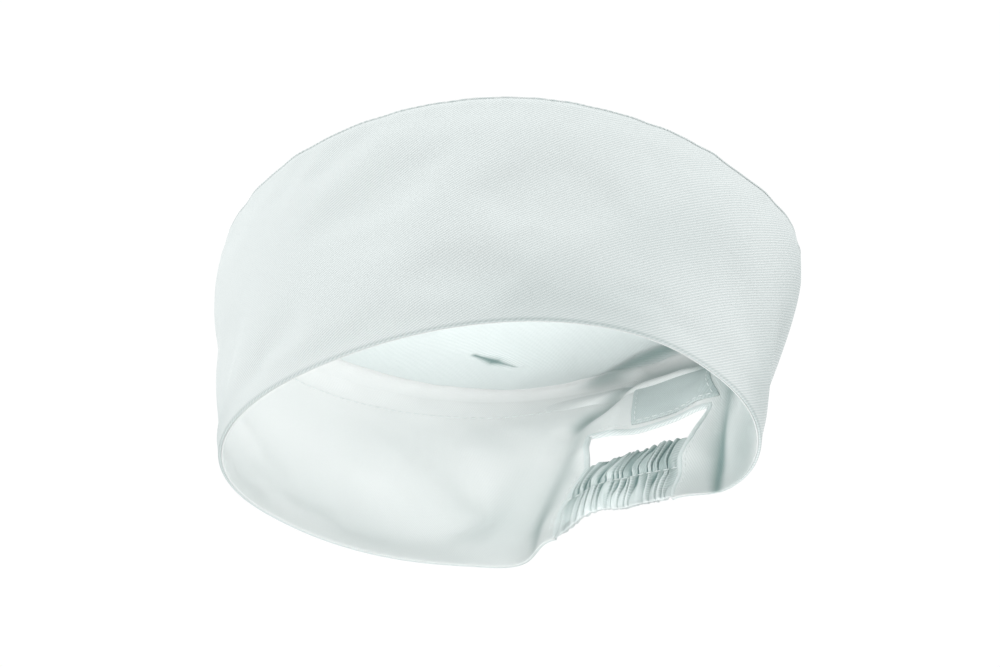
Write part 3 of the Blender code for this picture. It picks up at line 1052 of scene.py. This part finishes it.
def make_elastic_half(side, row):
    """Half of one flat elastic in its channel."""
    low, high = (0.05, 0.45) if row == 0 else (0.55, 0.95)
    turn, s = tube_grid(side, ELASTIC_SECTION, ELASTIC_COLUMNS, entry=0.01)
    w = (low + high) / 2 - (high - low) / 2 * np.cos(turn)
    middle, inward = strap_frame(s, w)
    ribs = 1 + 0.15 * np.cos(w * 90)
    push = ELASTIC_HALF_THICKNESS * np.sin(turn) * ribs
    points = middle + inward * push[..., None]
    name = ("elastic_lower_" if row == 0 else "elastic_upper_") + strap_name(side) + "_half"
    uv = np.stack([s * STRAP_LENGTH, w * STRAP_HEIGHT], -1)
    obj = mesh_object(name, points, tube_faces(ELASTIC_SECTION, ELASTIC_COLUMNS), uv)
    return blend_half(finish_piece(obj, ELASTIC, "elastic", None), side)


# ---- Stitching ----

STITCH_LENGTH = 2.1 * MM
STITCH_PITCH = 2.9 * MM
STITCH_RADIUS = 0.17 * MM
STITCH_PROFILE = (0.45, 0.95, 1.0, 0.95, 0.45)  # its thickness along its length
STITCH_SIDES = 6
INSIDE_STITCHES = BAND_THICKNESS + 0.08 * MM
OUTSIDE_STITCHES = -0.05 * MM
FACING_STITCH_INSET = 1.4 * MM


def stitch_row(name, lines, *nodes, body="root"):
    """Rows of separate lockstitches. Each line is a path of points lying on the cloth."""
    points, faces, uv = [], [], []
    ring, sides = len(STITCH_PROFILE), STITCH_SIDES
    for line in lines:
        lengths = np.concatenate([[0], np.cumsum(np.linalg.norm(np.diff(line, axis=0), axis=1))])
        count = max(int(lengths[-1] / STITCH_PITCH), 1)
        for k in range(count):
            begin = (k + 0.15) * lengths[-1] / count
            stops = begin + np.linspace(0, STITCH_LENGTH, ring)
            spine = np.stack([np.interp(stops, lengths, line[:, c]) for c in range(3)], -1)
            ahead = spine[-1] - spine[0]
            ahead /= np.linalg.norm(ahead)
            side = np.cross(ahead, (0.31, 0.52, 0.79))
            side /= np.linalg.norm(side)
            other = np.cross(ahead, side)
            first = len(points)
            for centre, stop, size in zip(spine, stops, STITCH_PROFILE):
                for step in range(sides):
                    turn = 2 * math.pi * step / sides
                    offset = side * math.cos(turn) + other * math.sin(turn)
                    points.append(centre + offset * STITCH_RADIUS * size)
                    uv.append((stop, turn * STITCH_RADIUS))
            for i in range(ring - 1):
                for j in range(sides):
                    a, b = first + i * sides + j, first + i * sides + (j + 1) % sides
                    faces.append((a, b, b + sides, a + sides))
            faces.append(tuple(first + j for j in range(sides))[::-1])
            faces.append(tuple(first + (ring - 1) * sides + j for j in range(sides)))
    obj = mesh_object(name, np.array(points), faces, np.array(uv))
    return finish_piece(obj, THREAD, "thread", body, *nodes)


def facing_stitch_lines():
    """Four lines just inside the facing's edges."""
    inset, count = FACING_STITCH_INSET, 90
    low, high = FACING_LOW + inset, FACING_HIGH - inset
    rise = np.linspace(low, high, 60)
    start, end = facing_x(rise)
    borders = [(start + inset, rise), (end - inset, rise)]
    for height in (high, low):
        start, end = facing_x(height)
        across = start + inset + (end - start - 2 * inset) * np.linspace(0, 1, count)
        borders.append((across, np.full(count, height)))
    on_facing = BAND_THICKNESS + 0.75 * MM
    return [wall(angle_at_x(x), z, on_facing) for x, z in borders]


def make_stitching():
    """All rows of stitches, by the piece of cloth that they hold."""
    angle = np.linspace(0, 2 * np.pi, 900)
    seam = wall(angle, wall_height(angle) - 10.4 * MM, BAND_THICKNESS + 0.12 * MM)
    on_tape = stitch_row("crown_seam_stitches", [seam], "crown_seam_thread")

    x = np.linspace(-20, 20, 120) * MM
    height = np.full(x.shape, WINDOW_TOP + 2.9 * MM)
    depths = (INSIDE_STITCHES + 0.15 * MM, OUTSIDE_STITCHES)
    lines = [wall(angle_at_x(x), height, depth) for depth in depths]
    on_band = [stitch_row("window_edge_stitches", lines, "window_edge_thread")]
    on_facing = stitch_row("facing_edge_stitches", facing_stitch_lines(), "facing_edge_thread")

    z = np.linspace(4, 28, 60) * MM
    for side, edge in ((1, window_right), (-1, window_left)):
        x = edge(z) + side * 2.6 * MM
        lines = [wall(angle_at_x(x), z, depth) for depth in (INSIDE_STITCHES, OUTSIDE_STITCHES)]
        name = strap_name(side)
        on_band.append(stitch_row("strap_end_stitches_" + name, lines, "strap_end_thread_" + name))

    on_strap = []
    for side in (-1, 1):
        s = half_span(side, 160, 0.0)
        middle, inward = strap_frame(s, np.full(s.shape, 0.5))
        lines = [middle + inward * reach for reach in (0.75 * MM, -0.75 * MM)]
        obj = stitch_row("strap_centre_stitches_" + strap_name(side), lines, body=None)
        on_strap.append(blend_half(obj, side))
    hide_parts("strap_centre_thread_inner", "strap_centre_thread_outer")
    return {"band": on_band, "tape": [on_tape], "facing": [on_facing], "strap": on_strap}


# ---- Light, floor and camera ----

CAMERA_AZIMUTH = 35.95
CAMERA_ELEVATION = -28.67
CAMERA_ROLL = -1.56
CAMERA_DISTANCE = 1.3728
CAMERA_LENS = 153.7
CAMERA_AIM = (-2.8 * MM, -6.7 * MM, 46.8 * MM)


def make_camera():
    azimuth, elevation = math.radians(CAMERA_AZIMUTH), math.radians(CAMERA_ELEVATION)
    back = Vector(
        (
            math.sin(azimuth) * math.cos(elevation),
            -math.cos(azimuth) * math.cos(elevation),
            math.sin(elevation),
        )
    )
    camera = bpy.data.objects.new("camera", bpy.data.cameras.new("camera"))
    camera.data.lens = CAMERA_LENS
    camera.data.sensor_width = 36
    look = (-back).to_track_quat("-Z", "Y").to_matrix().to_4x4()
    turn = Matrix.Rotation(math.radians(CAMERA_ROLL), 4, "Z")
    camera.matrix_world = Matrix.Translation(Vector(CAMERA_AIM) + back * CAMERA_DISTANCE) @ look @ turn
    bpy.context.scene.collection.objects.link(camera)
    bpy.context.scene.camera = camera


SKY_BRIGHT_END = (-0.36, -0.27, 0.89)  # the sky is brightest this way, and darkest opposite


def make_world():
    """A white studio: bright overhead and to the left, and dimmer below and to the right."""
    world = bpy.data.worlds.new("studio")
    world.use_nodes = True
    tree = world.node_tree
    background = tree.nodes["Background"]
    background.inputs["Color"].default_value = (1, 1, 1, 1)
    direction = tree.nodes.new("ShaderNodeTexCoord")
    along = tree.nodes.new("ShaderNodeVectorMath")
    along.operation = "DOT_PRODUCT"
    along.inputs[1].default_value = SKY_BRIGHT_END
    tree.links.new(direction.outputs["Generated"], along.inputs[0])
    strength = tree.nodes.new("ShaderNodeMapRange")
    strength.inputs["From Min"].default_value = -0.6
    strength.inputs["From Max"].default_value = 0.25
    strength.inputs["To Min"].default_value = 0.62
    strength.inputs["To Max"].default_value = 1.02
    tree.links.new(along.outputs["Value"], strength.inputs["Value"])
    tree.links.new(strength.outputs[0], background.inputs["Strength"])
    bpy.context.scene.world = world
    bpy.context.scene.view_settings.view_transform = "Standard"


def make_area_light(name, place, aim, size, power):
    light = bpy.data.lights.new(name, "AREA")
    light.shape = "DISK"
    light.size = size
    light.energy = power
    obj = bpy.data.objects.new(name, light)
    obj.visible_camera = False
    obj.location = place
    obj.rotation_euler = (Vector(aim) - Vector(place)).to_track_quat("-Z", "Y").to_euler()
    bpy.context.scene.collection.objects.link(obj)


def make_floor():
    """The cap is shown from below, so the floor lies beneath the camera."""
    size, drop = 8.0, 1.2
    corners = np.array([[-1, -1, 0], [1, -1, 0], [1, 1, 0], [-1, 1, 0]]) * size / 2
    corners[:, 2] = -drop
    floor = mesh_object("floor", corners, [(0, 1, 2, 3)])
    floor.data.materials.append(plain_material("pale_floor", (0.9, 0.9, 0.9)))


make_camera()
make_world()
make_floor()
make_area_light("high_left", (-1.0, -0.9, 1.3), (0, 0, 0.04), 0.9, 9.6)
make_area_light("high_right", (1.37, 0.1, 1.0), (0, 0, 0.04), 0.9, 7.5)
# Stands for the light that comes through the thin cloth of the crown and the band.
make_area_light("inside", (0.0, -0.008, 0.004), (0.0, -0.008, 0.06), 0.11, 0.035)
make_area_light("under", (0.0, -0.008, -0.09), (0.0, -0.008, 0.06), 0.13, 0.088)
band_ease = simulate_band()
crown_ease = simulate_crown()
outer = make_band_outer()
lining = make_band_lining()
stiffener = make_stiffener()
crown, underside = make_crown()
tape = make_seam_tape()
facing = make_facing()
casing = [make_strap_half(side) for side in (-1, 1)]
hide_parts("strap_casing")
elastics = [[make_elastic_half(side, row) for side in (-1, 1)] for row in (0, 1)]
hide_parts("elastic_lower")
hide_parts("elastic_upper")
stitches = make_stitching()

bpy.context.view_layer.update()
